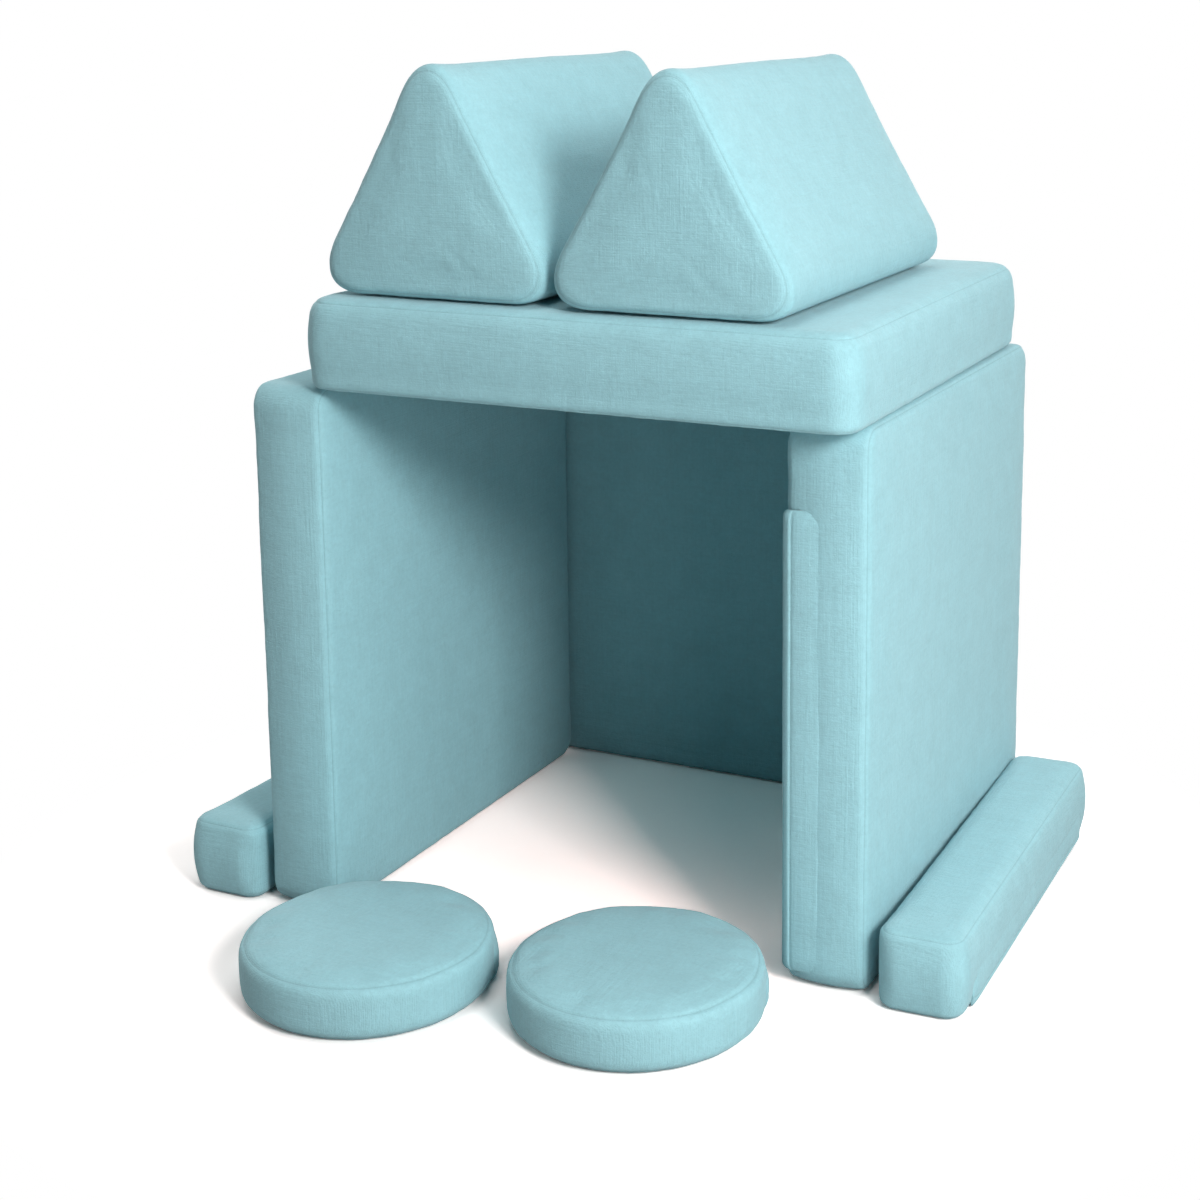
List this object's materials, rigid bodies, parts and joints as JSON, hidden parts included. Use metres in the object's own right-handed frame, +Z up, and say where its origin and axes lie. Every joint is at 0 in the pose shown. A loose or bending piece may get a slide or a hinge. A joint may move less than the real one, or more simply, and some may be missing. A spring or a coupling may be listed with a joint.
{
  "type": "modular foam play sofa",
  "caption": "Play sofa of loose fabric-covered foam blocks, set up as a play house: thin panels as walls, a thick cushion as roof, wedges on top, bars beside and round cushions in front.",
  "frame": {"origin": "on the floor, in the middle of the set-up stack", "axes": "+X to the right as seen from the front, +Y into the play house, +Z up"},
  "size_m": [1.0388, 1.019, 1.0743],
  "materials": {
    "teal_fabric": "matt woven upholstery, pale teal",
    "foam": "open-cell polyurethane foam, cream",
    "zip_tape": "woven tape with a moulded chain, teal",
    "slider_metal": "plain die-cast metal"
  },
  "bodies": {
    "back_wall": {"back_wall_cover": "teal_fabric", "back_wall_core": "foam", "back_wall_zip": "zip_tape"},
    "back_wall_slider": {"back_wall_slider": "slider_metal"},
    "left_wall": {"left_wall_cover": "teal_fabric", "left_wall_core": "foam", "left_wall_zip": "zip_tape"},
    "left_wall_slider": {"left_wall_slider": "slider_metal"},
    "right_wall": {"right_wall_cover": "teal_fabric", "right_wall_core": "foam", "right_wall_zip": "zip_tape"},
    "right_wall_slider": {"right_wall_slider": "slider_metal"},
    "roof": {"roof_cover": "teal_fabric", "roof_core": "foam", "roof_zip": "zip_tape"},
    "roof_slider": {"roof_slider": "slider_metal"},
    "left_wedge": {"left_wedge_cover": "teal_fabric", "left_wedge_core": "foam", "left_wedge_zip": "zip_tape"},
    "left_wedge_slider": {"left_wedge_slider": "slider_metal"},
    "right_wedge": {"right_wedge_cover": "teal_fabric", "right_wedge_core": "foam", "right_wedge_zip": "zip_tape"},
    "right_wedge_slider": {"right_wedge_slider": "slider_metal"},
    "left_bar": {"left_bar_cover": "teal_fabric", "left_bar_core": "foam", "left_bar_zip": "zip_tape"},
    "left_bar_slider": {"left_bar_slider": "slider_metal"},
    "right_bar": {"right_bar_cover": "teal_fabric", "right_bar_core": "foam", "right_bar_zip": "zip_tape"},
    "right_bar_slider": {"right_bar_slider": "slider_metal"},
    "left_round": {"left_round_cover": "teal_fabric", "left_round_core": "foam", "left_round_zip": "zip_tape"},
    "left_round_slider": {"left_round_slider": "slider_metal"},
    "right_round": {"right_round_cover": "teal_fabric", "right_round_core": "foam", "right_round_zip": "zip_tape"},
    "right_round_slider": {"right_round_slider": "slider_metal"}
  },
  "joints": [
    {"name": "left_wall_pull", "type": "slide", "parent": "back_wall", "child": "left_wall", "axis": [-1, 0, 0], "range_m": [0, 0.2]},
    {"name": "right_wall_pull", "type": "slide", "parent": "back_wall", "child": "right_wall", "axis": [1, 0, 0], "range_m": [0, 0.2]},
    {"name": "left_bar_pull", "type": "slide", "parent": "left_wall", "child": "left_bar", "axis": [-1, 0, 0], "range_m": [0, 0.15]},
    {"name": "right_bar_pull", "type": "slide", "parent": "right_wall", "child": "right_bar", "axis": [1, 0, 0], "range_m": [0, 0.15]},
    {"name": "roof_lift", "type": "slide", "parent": "back_wall", "child": "roof", "axis": [0, 0, 1], "range_m": [0, 0.3]},
    {"name": "left_wedge_lift", "type": "slide", "parent": "roof", "child": "left_wedge", "axis": [0, 0, 1], "range_m": [0, 0.2]},
    {"name": "right_wedge_lift", "type": "slide", "parent": "roof", "child": "right_wedge", "axis": [0, 0, 1], "range_m": [0, 0.2]},
    {"name": "left_round_lift", "type": "slide", "parent": "back_wall", "child": "left_round", "axis": [0, 0, 1], "range_m": [0, 0.2]},
    {"name": "right_round_lift", "type": "slide", "parent": "back_wall", "child": "right_round", "axis": [0, 0, 1], "range_m": [0, 0.2]},
    {"name": "back_wall_zip_run", "type": "slide", "parent": "back_wall", "child": "back_wall_slider", "axis": [0, 0, 1], "range_m": [0, 0.53]},
    {"name": "left_wall_zip_run", "type": "slide", "parent": "left_wall", "child": "left_wall_slider", "axis": [0, 0, 1], "range_m": [0, 0.53]},
    {"name": "right_wall_zip_run", "type": "slide", "parent": "right_wall", "child": "right_wall_slider", "axis": [0, 0, 1], "range_m": [0, 0.51]},
    {"name": "roof_zip_run", "type": "slide", "parent": "roof", "child": "roof_slider", "axis": [0.9997, 0.0244, 0], "range_m": [0, 0.553]},
    {"name": "left_wedge_zip_run", "type": "slide", "parent": "left_wedge", "child": "left_wedge_slider", "axis": [0.9999, 0.0122, 0], "range_m": [0, 0.19]},
    {"name": "right_wedge_zip_run", "type": "slide", "parent": "right_wedge", "child": "right_wedge_slider", "axis": [0.9998, 0.0209, 0], "range_m": [0, 0.19]},
    {"name": "left_bar_zip_run", "type": "slide", "parent": "left_bar", "child": "left_bar_slider", "axis": [0.0105, 0.9999, 0], "range_m": [0, 0.469]},
    {"name": "right_bar_zip_run", "type": "slide", "parent": "right_bar", "child": "right_bar_slider", "axis": [-0.0332, 0.9995, 0], "range_m": [0, 0.469]},
    {"name": "left_round_zip_run", "type": "hinge", "parent": "left_round", "child": "left_round_slider", "pos_m": [-0.15487, -0.36153, 0.024], "axis": [0, 0, 1], "range_deg": [0, 114.39]},
    {"name": "right_round_zip_run", "type": "hinge", "parent": "right_round", "child": "right_round_slider", "pos_m": [0.16713, -0.29553, 0.024], "axis": [0, 0, 1], "range_deg": [0, 114.39]}
  ]
}
